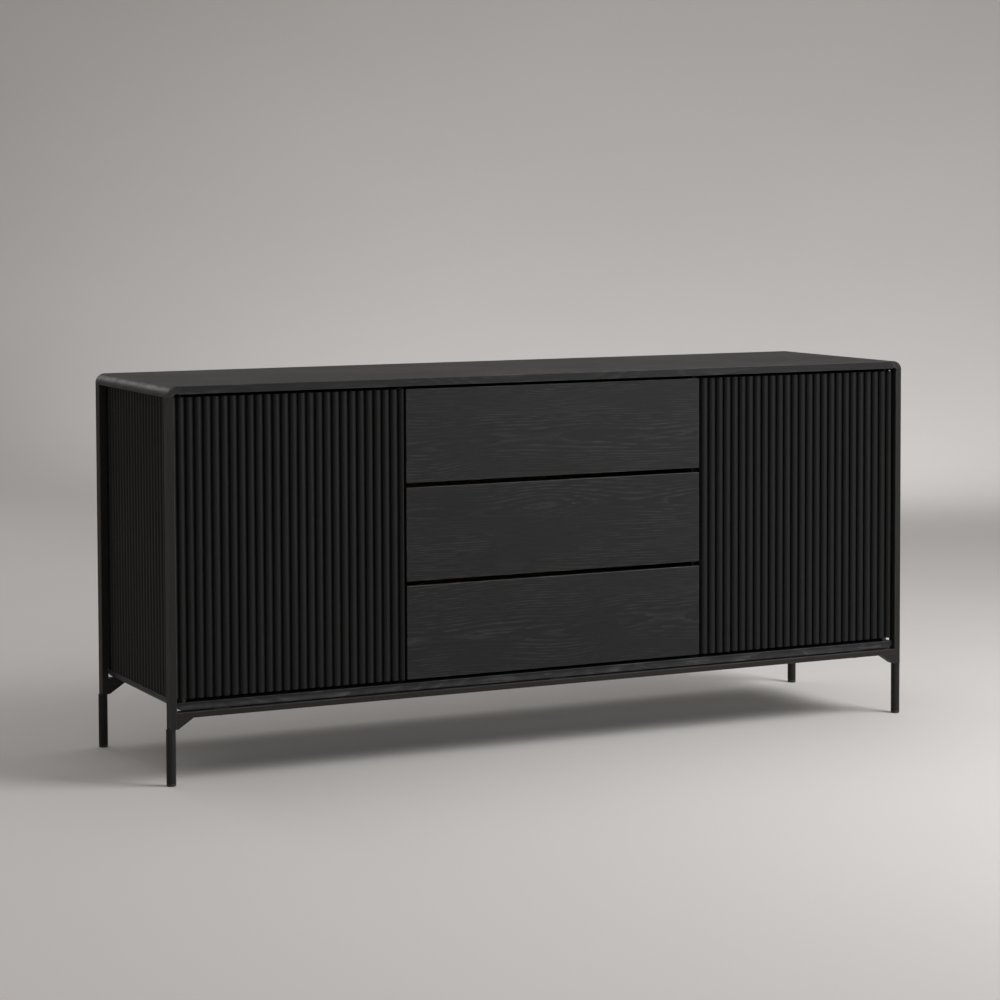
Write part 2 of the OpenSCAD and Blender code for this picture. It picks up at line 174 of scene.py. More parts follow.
@dataclass
class Solid:
    """A closed surface as arrays: vertices with their normals and attributes, quads, and flat end faces."""

    points: np.ndarray
    normals: np.ndarray
    edge: np.ndarray
    quads: np.ndarray
    caps: list[np.ndarray]
    grain: np.ndarray = field(default_factory=lambda: np.zeros((0, 3)))
    tone: np.ndarray = field(default_factory=lambda: np.zeros(0))

    def placed(self, matrix: np.ndarray, origin: np.ndarray) -> "Solid":
        """The solid under p -> p M + origin, with its faces turned round where M is a reflection.

        Args:
            matrix: M.
            origin: where the solid's own origin goes.

        Returns:
            A new solid.
        """
        step = -1 if np.linalg.det(matrix) < 0 else 1
        return replace(self, points=self.points @ matrix + origin, normals=self.normals @ matrix,
                       quads=self.quads[:, ::step], caps=[c[::step] for c in self.caps])

    def mirrored(self) -> "Solid":
        """The solid on the other side of the middle plane, x -> -x."""
        return self.placed(np.diag([-1.0, 1.0, 1.0]), np.zeros(3))

    def grained(self, grain: Grain, seed: int, tone: float = EVEN_TONE) -> "Solid":
        """The solid with its wood coordinates: the point in grain order, about the board's middle, plus an
        offset along the grain and across it that is drawn from the seed.

        Args:
            grain: how the wood lies.
            seed: which stretch of which log it is cut from.
            tone: how light the piece is, from 0 to 1: a random tone on the battens, and painted light on the
                top, its end rails and the upper drawers, which are made lighter where more light falls from
                above.

        Returns:
            The same solid with its grain attribute and its attribute of tone and painted light.
        """
        draw = np.random.default_rng(seed)
        middle = (self.points.min(0) + self.points.max(0)) / 2
        offset = np.array([draw.uniform(0, 40), draw.uniform(-0.05, 0.05), draw.uniform(0, 0.02)])
        self.grain = (self.points - middle)[:, list(grain.value)] + offset
        self.tone = np.full(len(self.points), tone)
        return self

    @staticmethod
    def joined(parts: list["Solid"]) -> "Solid":
        """Several solids as one, their face numbers moved up by the points that come before them.

        Args:
            parts: the solids.

        Returns:
            The one solid.
        """
        starts = np.cumsum([0] + [len(p.points) for p in parts])
        keys = ("points", "normals", "edge", "grain", "tone")
        arrays = {key: np.concatenate([getattr(p, key) for p in parts]) for key in keys}
        quads = np.concatenate([p.quads + s for p, s in zip(parts, starts)])
        return Solid(quads=quads, caps=[c + s for p, s in zip(parts, starts) for c in p.caps], **arrays)


def strip_quads(rings: int, around: int) -> np.ndarray:
    """The quads of a grid of rings that closes around: (k, i), (k, i+1), (k+1, i+1), (k+1, i).

    Args:
        rings: how many rings there are.
        around: how many points each ring has.

    Returns:
        Vertex numbers, four to a row.
    """
    k, i = np.meshgrid(np.arange(rings - 1), np.arange(around), indexing="ij")
    ahead = (i + 1) % around
    quads = [k * around + i, k * around + ahead, (k + 1) * around + ahead, (k + 1) * around + i]
    return np.stack(quads, -1).reshape(-1, 4)


def carried(outline: Outline, axis: Axis, start: float, end: float, ease: float, steps: int = 4) -> Solid:
    """An outline carried from start to end, its two end edges rounded over by the radius ease.

    At angle a of an end's rounding, from a quarter turn at the flat face to 0 at the side, the ring stands
    ease (1 - sin a) inside the end and is drawn in by ease (1 - cos a), and its normal is
    cos a (outline's normal) + sin a (the path's direction outwards).

    Args:
        outline: the cross-section, with no convex arc smaller than ease.
        axis: the world direction of the path.
        start: where the path starts, in metres.
        end: where it ends.
        ease: the radius of the end edges.
        steps: how many rings each rounding has.

    Returns:
        The closed solid.
    """
    angle = np.linspace(np.pi / 2, 0, steps)
    near, far = start + ease * (1 - np.sin(angle)), end - ease * (1 - np.sin(angle))
    place = np.concatenate([near, far[::-1]])
    tilt = np.concatenate([-angle, angle[::-1]])
    inset = ease * (1 - np.cos(tilt))
    flat = outline.points - inset[:, None, None] * outline.normals
    path = np.broadcast_to(place[:, None, None], flat.shape[:2] + (1,))
    points = np.concatenate([flat, path], -1).reshape(-1, 3)
    side = np.cos(tilt)[:, None, None] * outline.normals
    lean = np.broadcast_to(np.sin(tilt)[:, None, None], flat.shape[:2] + (1,))
    normals = np.concatenate([side, lean], -1).reshape(-1, 3)
    edge = np.maximum(outline.edge, np.sin(2 * np.abs(tilt))[:, None]).reshape(-1)
    rings, around = flat.shape[:2]
    first = np.arange(around)[::-1]
    last = np.arange(around) + (rings - 1) * around
    solid = Solid(points, normals, edge, strip_quads(rings, around), [first, last])
    return solid.placed(np.array(axis.value, float), np.zeros(3))


def bar(box: Box, axis: Axis, radius: float, ease: float | None = None) -> Solid:
    """A board or a tube that fills a box.

    Args:
        box: where it lies.
        axis: the way it is carried.
        radius: the radius of its long edges.
        ease: the radius of its end edges, where it isn't the same.

    Returns:
        The solid.
    """
    u, v, w = (int(np.argmax(direction)) for direction in axis.value)
    outline = Outline.rectangle((box.lo[u], box.lo[v]), (box.hi[u], box.hi[v]), radius)
    return carried(outline, axis, box.lo[w], box.hi[w], radius if ease is None else ease)


@dataclass(frozen=True)
class Finish:
    """What a piece is finished in: its material and the record's slot for it."""

    material: bpy.types.Material
    slot: str


def smooth_mesh(name: str, points: np.ndarray, faces: list[list[int]]) -> bpy.types.Mesh:
    """Makes a smooth-shaded mesh.

    Args:
        name: its name.
        points: its vertices.
        faces: its faces' vertex numbers.

    Returns:
        The mesh.
    """
    mesh = bpy.data.meshes.new(name)
    mesh.from_pydata(points, [], faces)
    mesh.polygons.foreach_set("use_smooth", np.ones(len(mesh.polygons), bool))
    return mesh


def in_scene(name: str, data: bpy.types.ID) -> bpy.types.Object:
    """Puts a new object in the scene.

    Args:
        name: its name.
        data: the mesh, light or camera that it holds.

    Returns:
        The object.
    """
    made = bpy.data.objects.new(name, data)
    bpy.context.scene.collection.objects.link(made)
    return made


def put(name: str, solid: Solid, finish: Finish, node: str, body: str = "case") -> None:
    """Makes a piece from a solid, dresses it, and puts it on its body in place of its CAD node.

    Args:
        name: the piece's name.
        solid: its surface.
        finish: its material and slot.
        node: the CAD node that it stands for.
        body: the CAD body that it rides on.
    """
    mesh = smooth_mesh(name, solid.points, solid.quads.tolist() + [c.tolist() for c in solid.caps])
    mesh.normals_split_custom_set_from_vertices(solid.normals)
    count = len(solid.points)
    grain = solid.grain if len(solid.grain) == count else solid.points
    tone = solid.tone if len(solid.tone) == count else np.full(count, EVEN_TONE)
    mesh.attributes.new("edge", "FLOAT", "POINT").data.foreach_set("value", solid.edge)
    mesh.attributes.new("tone", "FLOAT", "POINT").data.foreach_set("value", tone)
    mesh.attributes.new("grain", "FLOAT_VECTOR", "POINT").data.foreach_set("vector", grain.ravel())
    mesh.materials.append(finish.material)
    piece = in_scene(name, mesh)
    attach(piece, body)
    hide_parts(node)
    log.info("%s: %d faces on %s", name, len(mesh.polygons), body)


def dress(nodes: list[str], finish: Finish) -> None:
    """Gives CAD nodes that stay in view a finish.

    Args:
        nodes: their names.
        finish: what they are finished in.
    """
    for name in nodes:
        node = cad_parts[name]
        node.data.materials.clear()
        node.data.materials.append(finish.material)
        log.info("%s: dressed in %s", name, finish.slot)


# ---- Finishes ----


class Graph:
    """Adds nodes to one tree; an input given as a socket is linked and any other is set."""

    def __init__(self, tree: bpy.types.NodeTree) -> None:
        """Keeps the tree."""
        self.tree = tree

    def fill(self, node: bpy.types.Node, inputs: dict) -> None:
        """Gives a node's inputs their sockets or values.

        Args:
            node: the node.
            inputs: a socket or a value for each input, by name or number.
        """
        for key, value in inputs.items():
            if isinstance(value, bpy.types.NodeSocket):
                self.tree.links.new(value, node.inputs[key])
            else:
                node.inputs[key].default_value = value

    def add(self, kind: str, inputs: dict, **settings) -> bpy.types.Node:
        """Adds a node.

        Args:
            kind: the node's type, without its ShaderNode prefix.
            inputs: a socket or a value for each input, by name or number.
            settings: the node's own properties.

        Returns:
            The node.
        """
        node = self.tree.nodes.new("ShaderNode" + kind)
        for key, value in settings.items():
            setattr(node, key, value)
        self.fill(node, inputs)
        return node

    def group(self, tree: bpy.types.NodeTree, **inputs: float) -> bpy.types.bpy_prop_collection:
        """The outputs of a node group placed with its own values."""
        return self.add("Group", inputs, node_tree=tree).outputs

    def math(self, operation: str, a: Value, b: Value = 0.0, clamp: bool = False) -> Socket:
        """One sum of two values."""
        return self.add("Math", {0: a, 1: b}, operation=operation, use_clamp=clamp).outputs[0]

    def total(self, *values: Value) -> Socket:
        """Values added together in order."""
        return reduce(lambda a, b: self.math("ADD", a, b), values)

    def product(self, *values: Value) -> Socket:
        """Values multiplied together in order."""
        return reduce(lambda a, b: self.math("MULTIPLY", a, b), values)

    def remap(self, value: Socket, low: float, high: float, to_low: float, to_high: float) -> Socket:
        """A value's range low to high mapped on to another range, and held at its ends."""
        inputs = {"Value": value, 1: low, 2: high, 3: to_low, 4: to_high}
        return self.add("MapRange", inputs).outputs[0]

    def fade(self, mask: Socket, start: float, end: float, full: float = 1.0) -> Socket:
        """A mask from 0 to full mapped on to start and end."""
        return self.remap(mask, 0.0, full, start, end)

    def spread(self, noise: Socket, low: float, high: float) -> Socket:
        """The middle range of a noise, where nearly all of it lies, mapped on to low and high."""
        return self.remap(noise, 0.3, 0.7, low, high)

    def scaled(self, vector: Socket, scale: tuple[float, float, float]) -> Socket:
        """A vector times one factor for each coordinate."""
        return self.add("VectorMath", {0: vector, 1: scale}, operation="MULTIPLY").outputs[0]

    def noise(self, vector: Socket, scale: float, detail: float = 2.0, rough: float = 0.5) -> Socket:
        """Noise between 0 and 1 at a vector."""
        inputs = {"Vector": vector, "Scale": scale, "Detail": detail, "Roughness": rough}
        return self.add("TexNoise", inputs).outputs[0]

    def drawn_out(self, grain: Socket, along: float, across: float, *noise: float) -> Socket:
        """Noise with one scale along the grain and another across it, then its detail and roughness."""
        return self.noise(self.scaled(grain, (along, across, across)), 1.0, *noise)

    def attribute(self, name: str, output: str) -> Socket:
        """A mesh attribute's output."""
        return self.add("Attribute", {}, attribute_name=name).outputs[output]

    def place(self) -> Socket:
        """The Object coordinates."""
        return self.add("TexCoord", {}).outputs["Object"]

    def tinted(self, colour: Socket | Colour, factor: Socket) -> Socket:
        """A colour times a value that changes over the surface."""
        return self.add("VectorMath", {0: colour, "Scale": factor}, operation="SCALE").outputs[0]

    def mixed(self, factor: Socket, a: Socket | tuple, b: Socket | tuple) -> Socket:
        """Two colours mixed by a factor."""
        return self.add("Mix", {0: factor, 6: a, 7: b}, data_type="RGBA").outputs[2]


def new_group(name: str, inputs: dict[str, float], outputs: list[str]) -> tuple:
    """Starts a shader node group with named number sockets.

    Args:
        name: the group's name.
        inputs: each input's default.
        outputs: the outputs' names.

    Returns:
        The tree, its Graph, the group inputs' sockets and the group output node.
    """
    tree = bpy.data.node_groups.new(name, "ShaderNodeTree")
    for key, default in inputs.items():
        tree.interface.new_socket(key, in_out="INPUT", socket_type="NodeSocketFloat").default_value = default
    for key in outputs:
        tree.interface.new_socket(key, in_out="OUTPUT", socket_type="NodeSocketFloat")
    given, out = tree.nodes.new("NodeGroupInput"), tree.nodes.new("NodeGroupOutput")
    return tree, Graph(tree), given.outputs, out


class Effects:
    """The shader node groups that several finishes share, each built once."""

    def __init__(self) -> None:
        """Builds the groups."""
        self.wood = self.build_wood()
        self.wear = self.build_wear()
        self.haze = self.build_haze()

    @staticmethod
    def build_wood() -> bpy.types.NodeTree:
        """Flat-sawn, ring-porous wood.

        The log's heart runs along the grain, a little below the face and wandering, so the distance
        r = sqrt(across^2 + depth^2) from it cuts the face in long arches and closed eyes. The part of r over
        the ring spacing is the ring's age from 0 to 1, where the young wood carries the pores. Streaks are
        noise drawn out along the grain.

        Returns:
            The group, with outputs Ring, Streak, Dash, Patch, Pore and Height.
        """
        inputs = {"Spacing": 0.005, "Wander": 0.03, "Heart": 0.03}
        outputs = ["Ring", "Streak", "Dash", "Patch", "Pore", "Height"]
        tree, g, given, out = new_group("wood_grain", inputs, outputs)
        grain = g.attribute("grain", "Vector")
        slow = g.drawn_out(grain, 2.2, 7.0, 1.0)
        slow_depth = g.noise(g.scaled(grain, (1.6, 3.0, 3.0)), 1.3, 1.0)
        split = g.add("SeparateXYZ", {0: grain}).outputs
        swing = g.product(g.math("SUBTRACT", slow, 0.5), given["Wander"])
        rise = g.product(g.math("SUBTRACT", slow_depth, 0.5), given["Wander"])
        across = g.total(split[1], swing)
        depth = g.total(split[2], given["Heart"], rise)
        squares = g.total(g.product(across, across), g.product(depth, depth))
        jitter = g.product(g.drawn_out(grain, 14.0, 260.0, 2.0), 0.35)
        turns = g.total(g.math("DIVIDE", g.math("SQRT", squares), given["Spacing"]), jitter)
        young = g.fade(g.math("FRACT", turns), 1.0, 0.0, 0.55)
        streak = g.drawn_out(grain, 16.0, 520.0, 3.0, 0.6)
        dash = g.remap(g.drawn_out(grain, 19.0, 230.0, 2.0), 0.40, 0.56, 0.0, 1.0)
        patch = g.remap(g.drawn_out(grain, 4.5, 14.0, 1.0), 0.36, 0.56, 0.25, 1.0)
        fine = g.drawn_out(grain, 45.0, 2100.0, 2.0, 0.6)
        pore = g.product(g.remap(fine, 0.52, 0.66, 0.0, 1.0), g.fade(young, 0.25, 1.0))
        height = g.math("SUBTRACT", g.product(streak, 0.5), pore)
        g.fill(out, dict(zip(outputs, (young, streak, dash, patch, pore, height))))
        return tree

    @staticmethod
    def build_wear() -> bpy.types.NodeTree:
        """Rubbed edges, which the finishes also lighten as a painted highlight: the edge attribute, broken up
        by noise.

        Returns:
            The group, with output Mask.
        """
        tree, g, given, out = new_group("edge_wear", {"Amount": 0.5}, ["Mask"])
        patch = g.remap(g.noise(g.place(), 22.0, 3.0, 0.6), 0.35, 0.65, 0.35, 1.0)
        rub = g.product(g.attribute("edge", "Fac"), patch)
        g.fill(out, {"Mask": g.math("MULTIPLY", rub, given["Amount"], clamp=True)})
        return tree

    @staticmethod
    def build_haze() -> bpy.types.NodeTree:
        """A thin veil of dust on what faces up, and soft cloudy differences in sheen.

        Returns:
            The group, with outputs Dust and Cloud.
        """
        tree, g, given, out = new_group("haze", {"Amount": 0.1}, ["Dust", "Cloud"])
        place = g.place()
        facing = g.add("SeparateXYZ", {0: g.add("NewGeometry", {}).outputs["Normal"]}).outputs[2]
        up = g.remap(facing, 0.6, 1.0, 0.0, 1.0)
        speck = g.remap(g.noise(place, 420.0, 2.0, 0.7), 0.5, 0.75, 0.3, 1.0)
        g.fill(out, {"Dust": g.product(up, speck, given["Amount"]), "Cloud": g.noise(place, 3.5, 3.0, 0.55)})
        return tree


def new_material(name: str) -> tuple[bpy.types.Material, Graph, bpy.types.Node]:
    """Starts a material.

    Args:
        name: its name.

    Returns:
        The material, its Graph and its Principled BSDF.
    """
    material = bpy.data.materials.new(name)
    material.use_nodes = True
    return material, Graph(material.node_tree), material.node_tree.nodes["Principled BSDF"]


class Coat:
    """A finish in the making: its material, graph and shader, with the haze placed in it."""

    def __init__(self, recipe: object, effects: Effects) -> None:
        """Starts the material.

        Args:
            recipe: the finish's class, with its name, slot and amount of dust.
            effects: the shared node groups.
        """
        self.slot = recipe.slot
        self.material, self.graph, self.shader = new_material(recipe.name)
        self.haze = self.graph.group(effects.haze, Amount=recipe.dust)

    def cloudy(self, roughness: float, less: float, more: float) -> Socket:
        """A roughness that drifts between less below it and more above it."""
        return self.graph.spread(self.haze["Cloud"], roughness - less, roughness + more)

    def dusted(self, colour: Socket, dust: Colour = HOUSE_DUST) -> Socket:
        """A colour with the haze's dust on it."""
        return self.graph.mixed(self.haze["Dust"], colour, (*dust, 1.0))

    def finish(self, colour: Socket, rough: Socket, height: Socket, relief: float,
               sheen: float = 0.5, metal: float = 0.0) -> Finish:
        """Joins up the shader.

        Args:
            colour: its colour.
            rough: its roughness.
            height: its relief, from 0 to 1.
            relief: how deep the relief is, in metres.
            sheen: the strength of its gloss.
            metal: 1 for bare metal.

        Returns:
            The finish.
        """
        bump = self.graph.add("Bump", {"Height": height, "Distance": relief, "Strength": 1.0})
        self.graph.fill(self.shader, {"Base Color": colour, "Roughness": rough, "Normal": bump.outputs[0]})
        self.graph.fill(self.shader, {"Specular IOR Level": sheen, "Metallic": metal})
        return Finish(self.material, self.slot)


@dataclass(frozen=True)
class StainedOak:
    """Black-stained oak veneer under satin lacquer."""

    name: str
    slot: str
    colour: Colour = (0.0162, 0.0165, 0.0172)
    roughness: float = 0.46
    contrast: float = 1.4
    relief: float = 0.12 * MM
    spacing: float = 5.2 * MM
    wander: float = 75.0 * MM
    dust: float = 0.02
    sheen: float = 0.22
    wear: float = 0.5
    # how many times lighter the edges are: partly rubbed wear, partly a painted highlight along the edges
    wear_and_highlight: float = 4.5
    line_share: float = 0.2
    pore_shade: float = 0.62
    pore_rough: float = 0.16
    worn_smooth: float = 0.1

    def build(self, effects: Effects) -> Finish:
        """Colour from rings, streaks and pores; relief from the pores; smoother edges, made lighter partly by
        wear and partly as a painted highlight.

        Args:
            effects: the shared node groups.

        Returns:
            The finish.
        """
        coat = Coat(self, effects)
        g = coat.graph
        wood = g.group(effects.wood, Spacing=self.spacing, Wander=self.wander)
        wear = g.group(effects.wear, Amount=self.wear)["Mask"]
        line = g.product(wood["Dash"], wood["Patch"], wood["Ring"])
        shade = g.product(
            g.total(g.product(line, self.contrast), 1.0 - self.line_share * self.contrast),
            g.spread(wood["Streak"], 0.93, 1.07),
            # the piece's tone attribute: a random tone on the battens, painted light on the top, its end
            # rails and the upper drawers
            g.fade(g.attribute("tone", "Fac"), 0.86, 1.14),
            g.fade(wood["Pore"], 1.0, self.pore_shade),
            # lighter edges: wear together with a painted highlight
            g.fade(wear, 1.0, self.wear_and_highlight, WORN),
        )
        rough = g.total(coat.cloudy(self.roughness, 0.04, 0.04), g.product(wood["Pore"], self.pore_rough))
        rough = g.math("SUBTRACT", rough, g.product(wear, self.worn_smooth))
        colour = coat.dusted(g.tinted(self.colour, shade))
        return coat.finish(colour, rough, wood["Height"], self.relief, self.sheen)


@dataclass(frozen=True)
class PowderCoat:
    """Fine-texture black powder coat on steel."""

    name: str = "black powder coat"
    slot: str = "black_steel"
    colour: Colour = (0.0195, 0.0188, 0.0170)
    roughness: float = 0.52
    texture_size: float = 0.9 * MM
    texture_depth: float = 0.02 * MM
    dust: float = 0.06
    sheen: float = 0.17
    wear: float = 0.6
    # how many times lighter the edges are: partly polished wear, partly a painted highlight along the edges
    wear_and_highlight: float = 3.0
    worn_smooth: float = 0.08

    def build(self, effects: Effects) -> Finish:
        """A fine orange-peel relief, cloudy sheen, and smoother, lighter edges: partly polished wear, partly
        a painted highlight.

        Args:
            effects: the shared node groups.

        Returns:
            The finish.
        """
        coat = Coat(self, effects)
        g = coat.graph
        wear = g.group(effects.wear, Amount=self.wear)["Mask"]
        peel = g.noise(g.place(), 1.0 / self.texture_size)
        shade = g.product(
            g.spread(peel, 0.92, 1.08),
            g.spread(coat.haze["Cloud"], 0.95, 1.05),
            # lighter edges: wear together with a painted highlight
            g.fade(wear, 1.0, self.wear_and_highlight, WORN),
        )
        rough = coat.cloudy(self.roughness, 0.03, 0.05)
        rough = g.math("SUBTRACT", rough, g.product(wear, self.worn_smooth))
        colour = coat.dusted(g.tinted(self.colour, shade))
        return coat.finish(colour, rough, peel, self.texture_depth, self.sheen)


@dataclass(frozen=True)
class Moulded:
    """A moulded black plastic or rubber, with a fine spark-eroded skin."""

    name: str
    slot: str
    colour: Colour
    roughness: float
    dust: float = 0.12
    skin_scale: float = 2600.0
    skin_depth: float = 0.02 * MM

    def build(self, effects: Effects) -> Finish:
        """A fine grainy relief and cloudy sheen.

        Args:
            effects: the shared node groups.

        Returns:
            The finish.
        """
        coat = Coat(self, effects)
        g = coat.graph
        skin = g.noise(g.place(), self.skin_scale, 2.0, 0.6)
        colour = coat.dusted(g.tinted(self.colour, g.spread(skin, 0.85, 1.15)))
        return coat.finish(colour, coat.cloudy(self.roughness, 0.05, 0.05), skin, self.skin_depth)


@dataclass(frozen=True)
class ZincPlate:
    """Bright zinc plate on rolled steel."""

    name: str = "bright zinc plate"
    slot: str = "zinc_steel"
    colour: Colour = (0.62, 0.63, 0.65)
    dust_colour: Colour = (0.3, 0.29, 0.27)
    roughness: float = 0.42
    dust: float = 0.1
    line_depth: float = 0.01 * MM

    def build(self, effects: Effects) -> Finish:
        """Soft spangle in the colour, and rolling lines along the piece in the roughness.

        Args:
            effects: the shared node groups.

        Returns:
            The finish.
        """
        coat = Coat(self, effects)
        g = coat.graph
        place = g.place()
        rolled = g.noise(g.scaled(place, (900.0, 30.0, 900.0)), 1.0, 2.0, 0.6)
        spangle = g.noise(place, 160.0, 1.0, 0.4)
        shade = g.product(g.spread(spangle, 0.88, 1.08), g.spread(rolled, 0.95, 1.05))
        rough = g.spread(rolled, self.roughness - 0.08, self.roughness + 0.1)
        colour = coat.dusted(g.tinted(self.colour, shade), self.dust_colour)
        return coat.finish(colour, rough, rolled, self.line_depth, metal=1.0)


@dataclass(frozen=True)
class BirchPly:
    """Clear-lacquered birch plywood, its layers showing on the edges."""

    name: str = "birch plywood"
    slot: str = "birch_box"
    face: Colour = (0.50, 0.365, 0.225)
    dark_layer: Colour = (0.30, 0.19, 0.105)
    layer: float = 1.4 * MM
    dust: float = 0.0
    roughness: float = 0.42
    spacing: float = 9.0 * MM
    wander: float = 90.0 * MM
    relief: float = 0.05 * MM

    def build(self, effects: Effects) -> Finish:
        """The layer is the part of the depth coordinate over the layer thickness, and it shows only on edges.

        Args:
            effects: the shared node groups.

        Returns:
            The finish.
        """
        coat = Coat(self, effects)
        g = coat.graph
        wood = g.group(effects.wood, Spacing=self.spacing, Wander=self.wander)
        depth = g.add("SeparateXYZ", {0: g.attribute("grain", "Vector")}).outputs[2]
        ply = g.math("PINGPONG", g.total(depth, 0.5 * self.layer), self.layer)
        cross = g.remap(ply, 0.42 * self.layer, 0.58 * self.layer, 0.0, 1.0)
        shown = g.product(cross, g.attribute("edge", "Fac"))
        shade = g.product(g.fade(wood["Ring"], 1.03, 0.93), g.spread(wood["Streak"], 0.94, 1.05))
        colour = g.tinted(g.mixed(shown, (*self.face, 1.0), (*self.dark_layer, 1.0)), shade)
        rough = coat.cloudy(self.roughness, 0.04, 0.05)
        return coat.finish(colour, rough, wood["Height"], self.relief)


class Finishes:
    """Every finish on the piece of furniture."""

    def __init__(self) -> None:
        """Builds the shared effects and then the finishes."""
        effects = Effects()
        self.oak = StainedOak("black oak", "black_oak").build(effects)
        # the same black oak at about half its colour: painted shade, darkening the reeded doors and the case
        # ends that lie in shade
        self.reeding = StainedOak(
            "black oak reeding", "black_oak_reeding", colour=(0.0080, 0.0081, 0.0085), roughness=0.48,
            contrast=0.4, spacing=4.0 * MM, dust=0.0,
        ).build(effects)
        self.steel = PowderCoat().build(effects)
        self.nylon = Moulded("black nylon", "black_nylon", (0.018, 0.018, 0.019), 0.5).build(effects)
        self.rubber = Moulded("rubber pad", "rubber_pad", (0.014, 0.014, 0.014), 0.8).build(effects)
        self.zinc = ZincPlate().build(effects)
        # near-black pivot pins: painted shade, so the pins in the gap under each door read as the shade there
        self.shade_black = Moulded("blacked steel", "zinc_steel", (0.005, 0.005, 0.005), 0.62).build(effects)
        self.birch = BirchPly().build(effects)


# ---- Sub-assemblies ----


class Side(Enum):
    """The left or the right half, as seen from the front, by its sign along X."""

    LEFT = -1
    RIGHT = 1

    @property
    def word(self) -> str:
        """The side's name."""
        return self.name.lower()


class End(Enum):
    """The front or the rear of the frame."""

    FRONT = "front"
    REAR = "rear"


class Level(Enum):
    """A drawer's place in the stack."""

    TOP = "top"
    MIDDLE = "middle"
    BOTTOM = "bottom"


@dataclass
class Top:
    """The top board between its two rounded end rails."""

    finishes: Finishes
    edge_r: float = 1.3 * MM
    seam_r: float = 0.35 * MM
    outer_r: float = 21.0 * MM
    inner_r: float = 5.0 * MM
    board_t: float = 17.0 * MM
    post_w: float = 15.0 * MM
    bead: float = 0.9 * MM
    strip_w: float = 2.4 * MM
    strip_gap: float = 0.1 * MM
    strip_drop: float = 2.4 * MM
    strip_r: float = 0.3 * MM
    strip_from_end: float = 28.0 * MM

    def build(self) -> None:
        """Builds the board and both end rails."""
        panel = bar(Box.of("top_panel"), Axis.X, self.edge_r, self.seam_r)
        # tones 1.0 for the top and 0.9 for its end rails are painted light: lighter because light falls from
        # above
        put("top_board", panel.grained(Grain.TOP, 11, 1.0), self.finishes.oak, "top_panel")
        for side in Side:
            rail = self.end_rail(Box.of("top_end_right"))
            rail = rail if side is Side.RIGHT else rail.mirrored()
            # tone 0.9: painted light on the end rails
            rail.grained(Grain.END_RAIL, 12 + side.value, 0.9)
            put(f"top_end_rail_{side.word}", rail, self.finishes.oak, f"top_end_{side.word}")

    def end_rail(self, box: Box) -> Solid:
        """The right end rail: an outer quarter round over a shelf that ends in an inner fillet, with a thin
        strip between the posts that closes the slit above the end battens.

        Args:
            box: the rail's box.

        Returns:
            The rail, its outline in X and Z carried from front to rear.
        """
        inner_x = box.hi[0] - self.post_w
        under = box.hi[2] - self.board_t
        corners = [
            (box.lo[0], under), (inner_x, under), (inner_x, box.lo[2]),
            (box.hi[0], box.lo[2]), (box.hi[0], box.hi[2]), (box.lo[0], box.hi[2]),
        ]
        radii = [self.bead, self.inner_r, self.bead, self.bead, self.outer_r, self.bead]
        outline = Outline.rounded(corners, radii, 12)
        rail = carried(outline, Axis.Y, box.lo[1], box.hi[1], self.bead)
        strip = Outline.rectangle((inner_x - self.strip_w, box.lo[2] - self.strip_drop),
                                  (inner_x - self.strip_gap, box.lo[2] + self.bead), self.strip_r)
        end = box.hi[1] - self.strip_from_end
        return Solid.joined([rail, carried(strip, Axis.Y, -end, end, self.strip_r)])


@dataclass
class SteelFrame:
    """Posts, rails, gussets and legs of black steel on moulded glides."""

    finishes: Finishes
    tube_r: float = 1.6 * MM
    cut_r: float = 0.25 * MM
    gusset_foot: float = 2.0 * MM
    gusset_reach: float = 35.0 * MM
    gusset_nose: float = 1.5 * MM
    gusset_edge: float = 0.7 * MM
    leg_cut_r: float = 0.6 * MM
    glide_r: float = 2.0 * MM

    def build(self) -> None:
        """Builds every part of the frame."""
        for end in End:
            self.build_tube(f"{end.value}_rail", Axis.X)
            for side in Side:
                self.build_tube(f"post_{end.value}_{side.word}", Axis.Z)
                self.build_leg(f"leg_{end.value}_{side.word}")
        self.build_gussets()
        self.build_glides()

    def build_tube(self, node: str, axis: Axis) -> None:
        """A rectangular tube with rolled corners."""
        tube = bar(Box.of(node), axis, self.tube_r, self.cut_r)
        put(f"{node}_tube", tube, self.finishes.steel, node)

    def build_leg(self, node: str) -> None:
        """A round tube, carried upwards.

        Args:
            node: the CAD node that it stands for.
        """
        box = Box.of(node)
        outline = Outline.circle((box.mid[0], box.mid[1]), box.size[0] / 2)
        tube = carried(outline, Axis.Z, box.lo[2], box.hi[2], self.leg_cut_r)
        put(f"{node}_tube", tube, self.finishes.steel, node)

    def build_gussets(self) -> None:
        """Four bracing blocks: flat under the post, then sloping up to the rail."""
        box = Box.of("corner_gussets")
        post, rail = Box.of("post_front_right"), Box.of("front_rail")
        inner, low, high = post.lo[0], box.lo[2], rail.lo[2]
        tip = inner - self.gusset_reach
        corners = [
            (tip, high), (tip + self.gusset_nose, high - self.gusset_nose),
            (inner - self.gusset_foot, low), (inner, low), (inner, high),
        ]
        small = self.gusset_edge
        outline = Outline.rounded(corners, [small / 2, small, small, small, small], 4)
        blocks = []
        for near in (post.lo[1], -post.hi[1]):
            block = carried(outline, Axis.Y, near, near + post.size[1], small / 2)
            blocks += [block, block.mirrored()]
        put("corner_braces", Solid.joined(blocks), self.finishes.steel, "corner_gussets")

    def build_glides(self) -> None:
        """Four round glides, their lower edge rolled under."""
        box = Box.of("leg_glides")
        leg = Box.of("leg_front_right")
        radius = leg.size[0] / 2
        glides = []
        for y in (leg.mid[1], -leg.mid[1]):
            outline = Outline.circle((leg.mid[0], y), radius)
            glide = carried(outline, Axis.Z, box.lo[2], leg.lo[2], self.glide_r, 6)
            glides += [glide, glide.mirrored()]
        put("foot_glides", Solid.joined(glides), self.finishes.nylon, "leg_glides")


